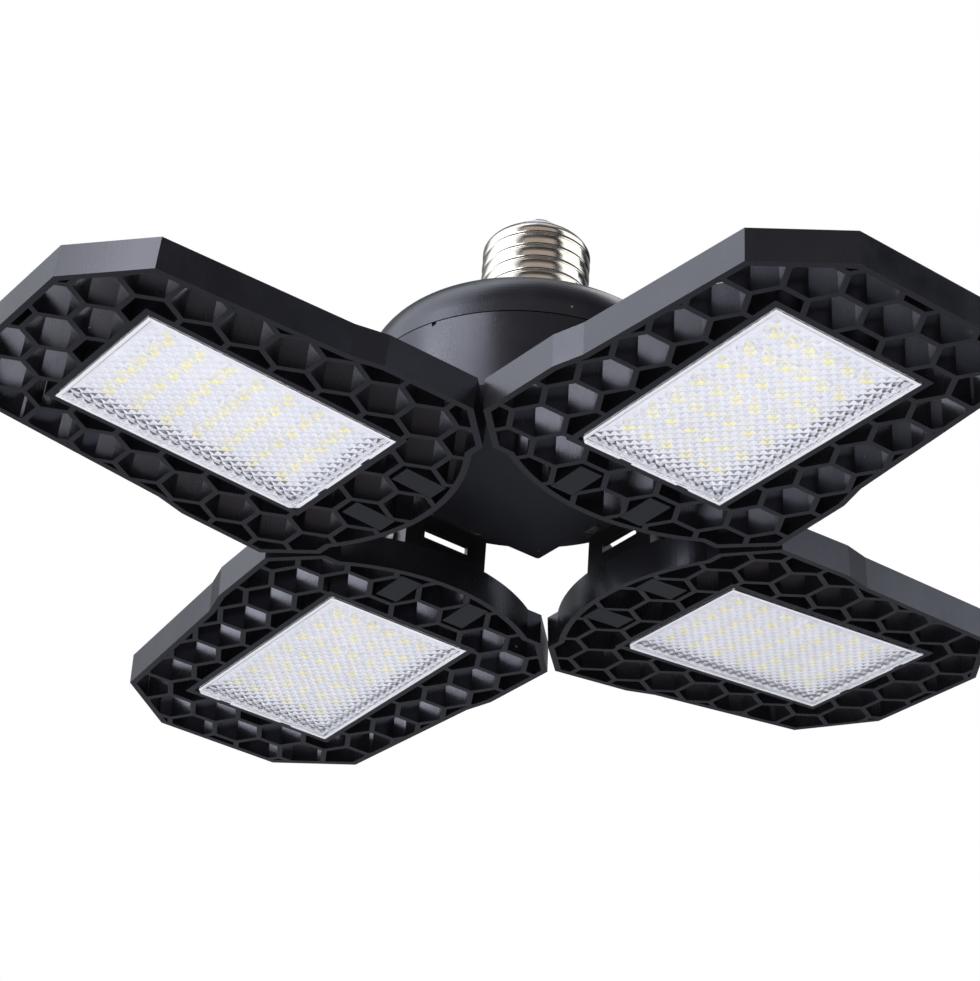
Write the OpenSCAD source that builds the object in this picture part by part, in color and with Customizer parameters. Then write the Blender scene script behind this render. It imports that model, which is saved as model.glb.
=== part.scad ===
// Deformable ceiling light: a screw base and a round body that carries four
// honeycomb leaf panels, each on its own friction hinge.
// The origin is the outer end of the base's centre contact, and +Z points up into the socket.
// Leaves a, b, c and d point along -X, -Y, +Y and +X.

/* [Screw base] */
// Diameter over the thread crests
thread_d = 26.3; // [25.6:0.1:26.8]
// Rise of the thread from one crest to the next
thread_pitch = 3.63; // [3.5:0.01:3.8]
// Depth of the rolled thread
thread_depth = 0.85; // [0.6:0.05:1]
// Number of thread crests
thread_crests = 5; // [4:1:5]
// Thickness of the shell's sheet metal
shell_wall = 0.4; // [0.3:0.05:0.5]
// Length of the threaded shell
shell_l = 22.8; // [21.4:0.2:25]
// Diameter of the round opening in the shell's end
shell_mouth_d = 18.4; // [17:0.2:20]
// Diameter of the centre contact
contact_d = 8.4; // [7.4:0.2:9.2]
// Height of the centre contact above its insulator
contact_h = 1.6; // [1.2:0.1:2]
// Height of the insulator above the shell
insulator_h = 4; // [2.6:0.1:4.4]

/* [Body] */
// Diameter of the cap and the drum at their seam
body_d = 78.2; // [76:0.2:80]
// Diameter of the drum at its underside
foot_d = 72.4; // [70:0.2:74]
// Height of the drum
drum_h = 18.4; // [17:0.2:22]
// Height of the straight band of the cap above the seam
cap_band_h = 3; // [2:0.2:5]
// Height of the cap's rounded shoulder
dome_h = 10.9; // [9:0.2:13]
// Width of the cap's rounded shoulder
dome_w = 8.1; // [6:0.1:10]
// Diameter of the neck under the screw base
neck_d = 29; // [28:0.2:31]
// Height of the neck
neck_h = 10.2; // [8:0.2:13]
// Wall thickness of the cap and the drum
wall = 2.2; // [1.8:0.1:2.6]
// Width of the seam between the cap and the drum
seam_gap = 0.3; // [0.2:0.05:0.5]
// Height of the square hinge cover
cover_h = 5.4; // [4.6:0.1:6]

/* [Leaf panel] */
// Width of a leaf at its widest, across the mitred corners
leaf_w = 83.2; // [80:0.2:85]
// Distance from the lamp's axis to the leaf's outer end
leaf_reach = 130; // [126:0.5:140]
// Distance from the lamp's axis to the middle of the curved inner end
leaf_inner = 24.4; // [24:0.1:25.4]
// Thickness of a leaf
leaf_t = 8; // [7.6:0.1:9]
// Width of the leaf where its sides step in
waist_w = 77; // [75:0.2:79]
// Width of the leaf at the start of its end chamfers
tip_w = 69.2; // [66:0.2:72]
// Width of the leaf's outer end
end_w = 34.4; // [28:0.2:40]
// Length of the end chamfers along the leaf
chamfer_l = 13.6; // [11:0.2:16]
// Thickness of the leaf's outer wall
rim = 1.5; // [1.4:0.1:2]
// Distance that the mitred edges stand back from the 45 degree line
mitre_gap = 0.9; // [0.8:0.05:1.2]

/* [Honeycomb] */
// Distance between cell centres along the leaf
cell_pitch = 11.4; // [10.8:0.1:12]
// Distance between rows of cells across the leaf
row_pitch = 10.1; // [9.6:0.1:10.6]
// Thickness of the honeycomb ribs
rib = 1.3; // [1.2:0.1:1.8]
// Distance from the leaf's outer end to the last whole cell's centre
end_cell = 9.4; // [8.8:0.1:10]

/* [Light window] */
// Length of the lens
lens_l = 62; // [60:0.2:63]
// Width of the lens
lens_w = 39.6; // [38.6:0.2:40.4]
// Distance from the lamp's axis to the lens
lens_inner = 47; // [46.6:0.1:48]
// Thickness of the lens face
lens_t = 1.2; // [1:0.1:1.4]
// How far the lens stands out of the leaf
lens_proud = 0.3; // [0.2:0.1:0.6]
// Clearance around the lens
lens_gap = 0.2; // [0.1:0.05:0.3]
// Wall around the lens opening
window_wall = 1.6; // [1.4:0.1:2]
// Depth of the lit chamber under the leaf's lower face
chamber_h = 2.8; // [2.7:0.1:3.2]
// Thickness of the metal light-emitting board
board_t = 1.6; // [1.2:0.1:1.8]
// Thickness of the leaf's back plate behind the board
back_t = 1.2; // [1:0.1:1.6]
// Number of light chips along a leaf
chip_columns = 7; // [5:1:7]
// Number of light chips across a leaf
chip_rows = 6; // [4:1:6]
// Distance between chips along a leaf
chip_pitch_u = 7.5; // [7:0.1:7.8]
// Distance between chips across a leaf
chip_pitch_v = 5; // [4.6:0.1:5.2]

/* [Hinge] */
// Diameter of the hinge bolt
bolt_d = 3; // [2.6:0.1:3.2]
// Height of the hinge axis over the leaf's top face
hinge_lift = 6; // [5.8:0.1:6.4]
// Distance from the body's underside down to the hinge axis
hinge_drop = 7.6; // [7.4:0.1:9]
// Width of the bracket over its two ears
bracket_w = 23.4; // [22.8:0.1:24.4]
// Thickness of the bracket's sheet steel
sheet = 1.2; // [1:0.1:1.4]
// Length of the bracket's flange under the body
flange_l = 6.7; // [6.2:0.1:7]
// Length of the slot in the bracket's web
slot_l = 12.6; // [10:0.2:13]
// Height of the slot in the bracket's web
slot_h = 2.3; // [2:0.1:2.6]
// Thickness of each hinge lug
lug_t = 3.2; // [2.8:0.1:3.4]
// Radial clearance of the bolt in its holes
bolt_gap = 0.05; // [0.03:0.01:0.09]
// Upward tilt of leaf a in degrees
tilt_a = 3.3; // [-2:0.1:8]
// Upward tilt of leaf b in degrees
tilt_b = 1.4; // [-2:0.1:8]
// Upward tilt of leaf c in degrees
tilt_c = -2.3; // [-2.4:0.1:8]
// Upward tilt of leaf d in degrees
tilt_d = 4.9; // [-2:0.1:8]

/* [Hidden] */

$fn = 48;
eps = 0.01;
touch = 0.3;            // gap left where two pieces lie against each other loosely
fold_gap = 0.4;         // leaves form a closed square box when all are folded up
web_step = 6.6;         // from the hinge axis inwards to the bracket's web

// Directions of the four leaves around the body, in degrees.
turn_a = 180;
turn_b = 270;
turn_c = 90;
turn_d = 0;

// Heights on the lamp's axis, counted down from the contact's end.
contact_z = -contact_h;
shell_top = contact_z - insulator_h;
shell_foot = shell_top - shell_l;
cap_top = shell_foot - neck_h;
seam_z = cap_top - dome_h - cap_band_h;
underside_z = seam_z - drum_h;
hinge_z = underside_z - hinge_drop;

// Screw base.
shell_root_r = thread_d / 2 - thread_depth;
shell_inner_r = shell_root_r - shell_wall;
thread_top = shell_top - 2.6;
thread_steps = 8;       // points along one thread
mouth_r = shell_mouth_d / 2;
spigot_gap = 0.2;
spigot_r = shell_inner_r - spigot_gap;
spigot_wall = 1.8;

// Body.
body_r = body_d / 2;
foot_r = foot_d / 2;
floor_t = 2.4;
lip_h = 4;              // spigot of the cap inside the drum
lip_gap = 0.2;
rim_round = 0.8;
pry_turn = 200;         // small pry mark at the seam
pry_w = 1.2;
pry_h = 0.8;
dome_steps = 16;

// Driver board on its posts.
driver_t = 1.6;
driver_r = foot_r - wall - 2.6;
post_h = 5.6;
post_r = 2.8;
post_ring = driver_r - post_r - 1.6;
post_turns = [0 : 90 : 270];
driver_z = underside_z + floor_t + post_h;
driver_screw_r = 1.1;
driver_screw_l = 5;
core_size = [15, 13, 10];
coil_size = [11, 17, 7];
core_x = -8;
can_x = 11;
can_y = 7;
can_r = 4;
can_h = 9;
bridge_at = [-3, 14];
bridge_size = [8, 5, 3];

// Square cover under the body, held by screws from inside the drum. It fills the place that
// the four flanges leave.
flange_gap = 0.4;
cover_w = 2 * (leaf_w / 2 - hinge_lift + fold_gap - web_step - flange_l - flange_gap);
cover_wall = 2;
cover_round = 0.8;
cover_floor = 1.8;
cover_post_r = 2.6;
cover_post_at = cover_w / 2 - cover_wall - cover_post_r + 0.4;
cover_screw_r = 1.1;
cover_screw_l = 5;
wire_hole_r = 6;

// Hinge, in the leaf's own frame: u outward, v across, w up from the leaf's lower face.
hinge_u = leaf_w / 2 - hinge_lift + fold_gap;
hinge_w = leaf_t + hinge_lift;
bolt_r = bolt_d / 2;
hole_r = bolt_r + bolt_gap;
ear_r = hinge_lift - 1.4;
web_u = hinge_u - web_step;
slot_w = hinge_w + 1.2;
lug_gap = 0.3;
lug_out = bracket_w / 2 - sheet - lug_gap;
lug_r = 3.2;
pad_l = 10.6;           // hinge lug's foot, which shows as a pad in the leaf's lower face
pad_w = 5.9;
pad_u = hinge_u - 7.6;
pad_v = lug_out - lug_t - 0.25;
pad_gap = 0.15;
head_r = bolt_d * 0.95;
head_h = 1.7;
nut_r = bolt_d * 1.06;
nut_h = 2.6;
washer_gap = 0.05;
flange_u = web_u - flange_l;
flange_screw_u = (flange_u + web_u) / 2;
flange_screw_v = 7;
flange_screw_r = 1.2;
flange_screw_l = 3.2;

// Leaf outline.
corner_v = leaf_w / 2;
corner_u = corner_v + mitre_gap;
heel_v = 31.5;          // inner end of the mitred edges
heel_u = heel_v + mitre_gap;
cheek_v = 27.4;         // ends of the curved inner edge
step_u = 64.5;
step_v = corner_v - 1;
waist_u = 72;
curve_steps = 20;
inner_r = (cheek_v * cheek_v + pow(heel_u - leaf_inner, 2)) / (2 * (heel_u - leaf_inner));
inner_a = asin(cheek_v / inner_r);

// Light window.
lens_u = lens_inner + lens_l / 2;
lens_rim = 1.3;
lens_key = 1.8;         // chamfer on one corner of the lens
notch_depth = 0.45;     // clip notches in one end of the lens
notch_w = 3.2;
board_gap = 0.25;
board_w0 = chamber_h;
board_w1 = board_w0 + board_t;
back_w = board_w1 + back_t;
chip_l = 3.5;
chip_w = 2.8;
chip_t = 0.75;
rivet_head_r = 1.5;
rivet_head_h = 0.9;
rivet_r = 0.8;
rivet_gap = 0.05;
rivet_inset_u = 3;
rivet_inset_v = 3;
honeycomb_rows = 4;
honeycomb_columns = 10;

// Places a piece of a leaf: turned about the lamp's axis and tilted about the hinge bolt.
module on_leaf(turn, tilt) {
    rotate([0, 0, turn])
        translate([hinge_u, 0, hinge_z])
            rotate([0, -tilt, 0])
                translate([-hinge_u, 0, -hinge_w])
                    children();
}

// Places a piece of the fixed half of a hinge.
module on_body(turn) {
    on_leaf(turn, 0) children();
}

// Stands a flat profile drawn in u and w on edge, from v0 to v0 + t.
module upright(v0, t) {
    translate([0, v0 + t, 0])
        rotate([90, 0, 0])
            linear_extrude(t)
                children();
}

// ---- Screw base ----

module centre_contact() {
    edge = 0.7;
    r = contact_d / 2;
    color("silver")
        rotate_extrude()
            polygon([[0, 0], [r - edge, 0], [r, -edge], [r, contact_z], [0, contact_z]]);
}

module base_insulator() {
    fit_r = mouth_r - 0.1;
    top_r = contact_d / 2 + 1.4;
    color("ghostwhite")
        rotate_extrude()
            polygon([
                [0, contact_z], [top_r - 0.4, contact_z], [top_r, contact_z - 0.4],
                [fit_r, shell_top + 0.4], [fit_r, shell_top - 1.6], [0, shell_top - 1.6]
            ]);
}

// Height of the thread crest over its root, as a smooth wave.
function thread_wave(i) = thread_depth * (1 - cos(360 * i / thread_steps)) / 2;

// Points of the shell's rounded shoulder, set back by t from the outer face.
function shoulder(t) = [
    for (a = [0 : 15 : 75])
        [mouth_r + (shell_root_r - mouth_r) * cos(a) - t * cos(a),
         thread_top + (shell_top - thread_top) * sin(a) - t * sin(a)]
];

module screw_shell() {
    thread_foot = thread_top - thread_crests * thread_pitch;
    wave = [
        for (i = [0 : thread_crests * thread_steps - 1])
            [shell_root_r + thread_wave(i), thread_foot + i * thread_pitch / thread_steps]
    ];
    inside = shoulder(shell_wall);
    inside_back = [for (i = [len(inside) - 1 : -1 : 0]) inside[i]];
    color("lightgray")
        rotate_extrude($fn = 96)
            polygon(concat(
                [[shell_inner_r, shell_foot], [shell_root_r, shell_foot]],
                wave,
                shoulder(0),
                [[mouth_r, shell_top], [mouth_r, shell_top - shell_wall]],
                inside_back
            ));
}

// ---- Body ----

// Outer profile of the cap from the seam up to the neck, moved inwards by t.
function cap_profile(t) = concat(
    [[body_r - t, seam_z + seam_gap / 2]],
    [for (i = [0 : dome_steps])
        [body_r - dome_w + (dome_w - t) * cos(90 * i / dome_steps),
         seam_z + cap_band_h + (dome_h - 0.3 - t) * sin(90 * i / dome_steps)]]
);

module top_cap() {
    neck_r = neck_d / 2;
    lip_r = body_r - wall - lip_gap;
    outside = cap_profile(0);
    inside = cap_profile(wall);
    inside_back = [for (i = [len(inside) - 1 : -1 : 1]) inside[i]];
    color([0.17, 0.17, 0.18])
        rotate_extrude($fn = 120)
            polygon(concat(
                [[lip_r, seam_z + seam_gap / 2]],
                outside,
                [[neck_r + 1.2, cap_top], [neck_r, cap_top + 1.2], [neck_r, shell_foot],
                 [spigot_r, shell_foot], [spigot_r, shell_top - 3.4],
                 [spigot_r - spigot_wall, shell_top - 3.4], [spigot_r - spigot_wall, shell_foot],
                 [neck_r - wall, shell_foot - 2], [neck_r - wall, cap_top - wall]],
                inside_back,
                [[body_r - wall, seam_z + wall], [lip_r - 1.6, seam_z + wall],
                 [lip_r - 1.6, seam_z - lip_h], [lip_r, seam_z - lip_h]]
            ));
}

module drum_housing() {
    top_z = seam_z - seam_gap / 2;
    color([0.16, 0.16, 0.17])
        difference() {
            union() {
                rotate_extrude($fn = 120)
                    polygon([
                        [0, underside_z], [foot_r - rim_round, underside_z],
                        [foot_r, underside_z + rim_round], [body_r, top_z],
                        [body_r - wall, top_z], [body_r - wall, top_z - lip_h - 0.5],
                        [foot_r - wall, underside_z + floor_t], [0, underside_z + floor_t]
                    ]);
                for (a = post_turns)
                    rotate([0, 0, a])
                        translate([post_ring, 0, underside_z + floor_t - eps])
                            cylinder(r = post_r, h = post_h + eps);
            }
            translate([0, 0, underside_z - 1])
                cylinder(r = wire_hole_r, h = floor_t + 2);
            for (a = post_turns)
                rotate([0, 0, a])
                    translate([post_ring, 0, driver_z - driver_screw_l])
                        cylinder(r = driver_screw_r + 0.05, h = driver_screw_l + 1);
            for (x = [-1, 1], y = [-1, 1])
                translate([x * cover_post_at, y * cover_post_at, underside_z - 1])
                    cylinder(r = cover_screw_r + 0.05, h = floor_t + 2);
            for (turn = [0 : 90 : 270], side = [-1, 1])
                rotate([0, 0, turn])
                    translate([flange_screw_u, side * flange_screw_v, underside_z - 1])
                        cylinder(r = flange_screw_r + 0.05, h = floor_t + 2);
            rotate([0, 0, pry_turn])
                translate([body_r, 0, top_z])
                    cube([pry_w, pry_w, 2 * pry_h], center = true);
        }
}

// Square outline with rounded corners.
module rounded_square(side, r) {
    for (x = [-1, 1], y = [-1, 1])
        translate([x * (side / 2 - r), y * (side / 2 - r)])
            circle(r = r);
    square([side - 2 * r, side], center = true);
    square([side, side - 2 * r], center = true);
}

module hinge_cover() {
    low_z = underside_z - cover_h;
    color([0.13, 0.13, 0.14])
        difference() {
            union() {
                translate([0, 0, low_z])
                    linear_extrude(cover_h)
                        difference() {
                            rounded_square(cover_w, cover_round);
                            rounded_square(cover_w - 2 * cover_wall, cover_round);
                        }
                translate([0, 0, low_z])
                    linear_extrude(cover_floor)
                        rounded_square(cover_w, cover_round);
                for (x = [-1, 1], y = [-1, 1])
                    translate([x * cover_post_at, y * cover_post_at, low_z])
                        cylinder(r = cover_post_r, h = cover_h);
            }
            for (x = [-1, 1], y = [-1, 1])
                translate([x * cover_post_at, y * cover_post_at, low_z + cover_floor])
                    cylinder(r = cover_screw_r + 0.05, h = cover_h);
        }
}

// Round-headed screw whose head's underside lies at z = 0, pointing down.
module screw_down(r, l, head_r, head_h) {
    translate([0, 0, -l])
        cylinder(r = r, h = l + eps);
    rotate_extrude()
        polygon([[0, 0], [head_r, 0], [head_r, head_h * 0.5], [head_r * 0.7, head_h], [0, head_h]]);
}

module cover_screws() {
    color("silver")
        for (x = [-1, 1], y = [-1, 1])
            translate([x * cover_post_at, y * cover_post_at, underside_z + floor_t])
                screw_down(cover_screw_r, cover_screw_l, 2, 1.3);
}

module bracket_screws() {
    color("silver")
        for (turn = [0 : 90 : 270], side = [-1, 1])
            rotate([0, 0, turn])
                translate([flange_screw_u, side * flange_screw_v, underside_z - sheet])
                    rotate([180, 0, 0])
                        screw_down(flange_screw_r, flange_screw_l, 2.1, 1.4);
}

// ---- Driver inside the drum ----

module driver_board() {
    color("darkgreen")
        difference() {
            translate([0, 0, driver_z])
                cylinder(r = driver_r, h = driver_t, $fn = 96);
            for (a = post_turns)
                rotate([0, 0, a])
                    translate([post_ring, 0, driver_z - 1])
                        cylinder(r = driver_screw_r + 0.05, h = driver_t + 2);
        }
}

module driver_screws() {
    color("silver")
        for (a = post_turns)
            rotate([0, 0, a])
                translate([post_ring, 0, driver_z + driver_t])
                    screw_down(driver_screw_r, driver_screw_l, 2, 1.3);
}

module driver_transformer() {
    color("goldenrod")
        translate([core_x, 0, driver_z + driver_t]) {
            translate([-core_size[0] / 2, -core_size[1] / 2, 0])
                cube(core_size);
            translate([-coil_size[0] / 2, -coil_size[1] / 2, 1])
                cube(coil_size);
        }
}

module driver_capacitors() {
    color("midnightblue")
        for (side = [-1, 1])
            translate([can_x, side * can_y, driver_z + driver_t])
                cylinder(r = can_r, h = can_h);
}

module driver_rectifier() {
    color([0.1, 0.1, 0.1])
        translate([bridge_at[0], bridge_at[1], driver_z + driver_t])
            cube(bridge_size);
}

// ---- Fixed half of a hinge ----

// Side outline of a bracket ear in u and w.
module ear_outline() {
    top_w = hinge_w + hinge_drop;
    difference() {
        union() {
            translate([hinge_u, hinge_w])
                circle(r = ear_r);
            polygon([
                [web_u, top_w], [web_u + 4, top_w],
                [hinge_u + ear_r * cos(40), hinge_w + ear_r * sin(40)],
                [hinge_u, hinge_w - ear_r], [web_u, hinge_w - ear_r]
            ]);
        }
        translate([hinge_u, hinge_w])
            circle(r = hole_r);
    }
}

module hinge_bracket(turn) {
    top_w = hinge_w + hinge_drop;
    low_w = hinge_w - ear_r;
    half = bracket_w / 2;
    color([0.1, 0.1, 0.11])
        on_body(turn)
            difference() {
                union() {
                    upright(half - sheet, sheet) ear_outline();
                    upright(-half, sheet) ear_outline();
                    translate([web_u, -half, low_w])
                        cube([sheet, bracket_w, top_w - low_w]);
                    translate([flange_u, -half, top_w - sheet])
                        cube([web_u + sheet - flange_u, bracket_w, sheet]);
                }
                translate([web_u - 1, -slot_l / 2, slot_w - slot_h / 2])
                    cube([sheet + 2, slot_l, slot_h]);
                for (side = [-1, 1])
                    translate([flange_screw_u, side * flange_screw_v, top_w - sheet - 1])
                        cylinder(r = flange_screw_r + 0.05, h = sheet + 2);
            }
}

module hinge_bolt(turn) {
    half = bracket_w / 2 + washer_gap;
    color("dimgray")
        on_body(turn)
            translate([hinge_u, 0, hinge_w])
                rotate([90, 0, 0]) {
                    translate([0, 0, -half])
                        cylinder(r = bolt_r, h = 2 * half + nut_h + 0.8);
                    translate([0, 0, -half - head_h])
                        cylinder(r = head_r, h = head_h);
                }
}

module hinge_nut(turn) {
    half = bracket_w / 2 + washer_gap;
    color("silver")
        on_body(turn)
            translate([hinge_u, -half, hinge_w])
                rotate([90, 0, 0])
                    difference() {
                        cylinder(r = nut_r, h = nut_h, $fn = 6);
                        translate([0, 0, -1])
                            cylinder(r = bolt_r + 0.03, h = nut_h + 2);
                    }
}

// ---- Leaf ----

// One hexagonal cell of the honeycomb, with a point to each side of the leaf.
module cell(u, v) {
    slope = sqrt(pow(cell_pitch / 2, 2) + pow(row_pitch / 3, 2));
    point_v = row_pitch * 2 / 3 - rib / 2 * slope / (cell_pitch / 2);
    side_u = (cell_pitch - rib) / 2;
    side_v = point_v - side_u * (row_pitch / 3) / (cell_pitch / 2);
    translate([u, v])
        polygon([
            [0, point_v], [side_u, side_v], [side_u, -side_v],
            [0, -point_v], [-side_u, -side_v], [-side_u, side_v]
        ]);
}

module honeycomb() {
    for (row = [-honeycomb_rows : honeycomb_rows], column = [0 : honeycomb_columns])
        cell(leaf_reach - end_cell + (1 - column - (row % 2 == 0 ? 0 : 0.5)) * cell_pitch,
             row * row_pitch);
}

// Half of the leaf's outline, from the middle of its inner end round to its outer end.
half_leaf = concat(
    [for (i = [0 : curve_steps])
        [leaf_inner + inner_r * (1 - cos(inner_a * i / curve_steps)),
         inner_r * sin(inner_a * i / curve_steps)]],
    [[heel_u, heel_v], [corner_u, corner_v], [step_u, step_v], [waist_u, waist_w / 2],
     [leaf_reach - chamfer_l, tip_w / 2], [leaf_reach, end_w / 2]]
);
leaf_points = concat(
    half_leaf,
    [for (i = [len(half_leaf) - 1 : -1 : 1]) [half_leaf[i][0], -half_leaf[i][1]]]
);

// Meeting point of the two edges at b, each moved inwards by d.
function inset_corner(a, b, c, d) =
    let (
        p = (b - a) / norm(b - a),
        q = (c - b) / norm(c - b),
        bend = 1 + p[0] * q[0] + p[1] * q[1]
    )
    b + d * [p[1] + q[1], -p[0] - q[0]] / bend;

function inset(points, d) = [
    for (i = [0 : len(points) - 1])
        inset_corner(points[(i + len(points) - 1) % len(points)], points[i],
                     points[(i + 1) % len(points)], d)
];

// Rectangle of the light window, grown by g on every side.
module window(g) {
    translate([lens_u, 0])
        square([lens_l + 2 * g, lens_w + 2 * g], center = true);
}

module pad(g) {
    for (side = [-1, 1])
        translate([pad_u + pad_l / 2, side * (pad_v + pad_w / 2)])
            square([pad_l + 2 * g, pad_w + 2 * g], center = true);
}

function rivet_places() = [
    for (x = [-1, 0, 1], y = [-1, 0, 1])
        if (x != 0 || y != 0)
            [lens_u + x * (lens_l / 2 - rivet_inset_u), y * (lens_w / 2 - rivet_inset_v)]
];

module leaf_frame(turn, tilt) {
    color([0.18, 0.18, 0.19])
        on_leaf(turn, tilt)
            difference() {
                linear_extrude(leaf_t)
                    difference() {
                        polygon(leaf_points);
                        difference() {
                            intersection() {
                                polygon(inset(leaf_points, rim));
                                honeycomb();
                            }
                            window(lens_gap + window_wall);
                        }
                        pad(pad_gap);
                    }
                translate([0, 0, -1])
                    linear_extrude(board_w1 + 1)
                        window(lens_gap);
                translate([0, 0, back_w])
                    linear_extrude(leaf_t)
                        intersection() {
                            window(lens_gap);
                            honeycomb();
                        }
                for (p = rivet_places())
                    translate([p[0], p[1], board_w1 - 1])
                        cylinder(r = rivet_r + rivet_gap, h = 1 + back_t * 0.8);
            }
}

// Side outline of a lug above the leaf, in u and w.
module lug_outline() {
    difference() {
        union() {
            translate([hinge_u, hinge_w])
                circle(r = lug_r);
            polygon([
                [hinge_u - lug_r, hinge_w], [hinge_u + lug_r * 0.9, hinge_w],
                [pad_u + pad_l, leaf_t], [pad_u + 2.6, leaf_t]
            ]);
        }
        translate([hinge_u, hinge_w])
            circle(r = hole_r);
    }
}

module hinge_lugs(turn, tilt) {
    color([0.2, 0.2, 0.21])
        on_leaf(turn, tilt) {
            linear_extrude(leaf_t)
                pad(0);
            upright(lug_out - lug_t, lug_t) lug_outline();
            upright(-lug_out, lug_t) lug_outline();
        }
}

module light_board(turn, tilt) {
    color("white")
        on_leaf(turn, tilt)
            translate([0, 0, board_w0])
                difference() {
                    linear_extrude(board_t)
                        window(lens_gap - board_gap);
                    for (p = rivet_places())
                        translate([p[0], p[1], -1])
                            cylinder(r = rivet_r + rivet_gap, h = board_t + 2);
                }
}

module light_chips(turn, tilt) {
    color("khaki")
        on_leaf(turn, tilt)
            for (i = [0 : chip_columns - 1], j = [0 : chip_rows - 1])
                translate([
                    lens_u + (i - (chip_columns - 1) / 2) * chip_pitch_u - chip_w / 2,
                    (j - (chip_rows - 1) / 2) * chip_pitch_v - chip_l / 2,
                    board_w0 - chip_t
                ])
                    cube([chip_w, chip_l, chip_t]);
}

module board_rivets(turn, tilt) {
    color("whitesmoke")
        on_leaf(turn, tilt)
            for (p = rivet_places())
                translate([p[0], p[1], board_w0])
                    rotate([180, 0, 0])
                        screw_down(rivet_r, board_t + back_t * 0.6, rivet_head_r, rivet_head_h);
}

// Outline of a lens about its centre. Its key is the corner at (key_end, key_side), and two clip
// notches are cut in its notch_end, at v = first and v = second.
module lens_outline(key_end, key_side, notch_end, first, second) {
    difference() {
        square([lens_l, lens_w], center = true);
        translate([key_end * lens_l / 2, key_side * lens_w / 2])
            rotate([0, 0, 45])
                square(lens_key * sqrt(2), center = true);
        for (v = [first, second])
            translate([notch_end * lens_l / 2, v])
                square([2 * notch_depth, notch_w], center = true);
    }
}

// Lens face and the rim that stands on the board.
module leaf_lens(turn, tilt, key_end, key_side, notch_end, first, second) {
    color([0.9, 0.9, 0.96, 0.5])
        on_leaf(turn, tilt)
            translate([lens_u, 0, -lens_proud])
                difference() {
                    linear_extrude(lens_proud + board_w0 - touch / 2)
                        lens_outline(key_end, key_side, notch_end, first, second);
                    translate([0, 0, lens_t])
                        linear_extrude(leaf_t)
                            square([lens_l - 2 * lens_rim, lens_w - 2 * lens_rim], center = true);
                }
}

centre_contact();
base_insulator();
screw_shell();
top_cap();
drum_housing();
hinge_cover();
cover_screws();
driver_board();
driver_screws();
driver_transformer();
driver_capacitors();
driver_rectifier();
bracket_screws();
hinge_bracket(turn_a);  // hinge_bracket_a
hinge_bracket(turn_b);  // hinge_bracket_b
hinge_bracket(turn_c);  // hinge_bracket_c
hinge_bracket(turn_d);  // hinge_bracket_d
hinge_bolt(turn_a);  // hinge_bolt_a
hinge_bolt(turn_b);  // hinge_bolt_b
hinge_bolt(turn_c);  // hinge_bolt_c
hinge_bolt(turn_d);  // hinge_bolt_d
hinge_nut(turn_a);  // hinge_nut_a
hinge_nut(turn_b);  // hinge_nut_b
hinge_nut(turn_c);  // hinge_nut_c
hinge_nut(turn_d);  // hinge_nut_d
leaf_frame(turn_a, tilt_a);  // leaf_frame_a
leaf_frame(turn_b, tilt_b);  // leaf_frame_b
leaf_frame(turn_c, tilt_c);  // leaf_frame_c
leaf_frame(turn_d, tilt_d);  // leaf_frame_d
hinge_lugs(turn_a, tilt_a);  // hinge_lugs_a
hinge_lugs(turn_b, tilt_b);  // hinge_lugs_b
hinge_lugs(turn_c, tilt_c);  // hinge_lugs_c
hinge_lugs(turn_d, tilt_d);  // hinge_lugs_d
light_board(turn_a, tilt_a);  // light_board_a
light_board(turn_b, tilt_b);  // light_board_b
light_board(turn_c, tilt_c);  // light_board_c
light_board(turn_d, tilt_d);  // light_board_d
light_chips(turn_a, tilt_a);  // light_chips_a
light_chips(turn_b, tilt_b);  // light_chips_b
light_chips(turn_c, tilt_c);  // light_chips_c
light_chips(turn_d, tilt_d);  // light_chips_d
board_rivets(turn_a, tilt_a);  // board_rivets_a
board_rivets(turn_b, tilt_b);  // board_rivets_b
board_rivets(turn_c, tilt_c);  // board_rivets_c
board_rivets(turn_d, tilt_d);  // board_rivets_d
leaf_lens(turn_a, tilt_a, -1, -1, -1, 8.5, -8.5);  // leaf_lens_a
leaf_lens(turn_b, tilt_b, -1, -1, -1, 9, -7);  // leaf_lens_b
leaf_lens(turn_c, tilt_c, 1, 1, 1, 11, -7.5);  // leaf_lens_c
leaf_lens(turn_d, tilt_d, -1, 1, 1, 8, -11);  // leaf_lens_d
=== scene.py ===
# %% [markdown]
# # A folding garage light
#
# The real lamp screws into a ceiling holder. A round black body carries four
# honeycomb leaves of moulded plastic, each on a slotted steel hinge, and each
# leaf holds a white light board under a clear prismatic lens. The solids come
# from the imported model. This lesson gives them their finishes and replaces the
# pieces whose real shape is finer than a plain solid: the rolled thread, the
# lenses, the light chips, the rivets and the fasteners.

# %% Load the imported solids
import math

import bmesh
import bpy
from mathutils import Matrix, Vector


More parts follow.
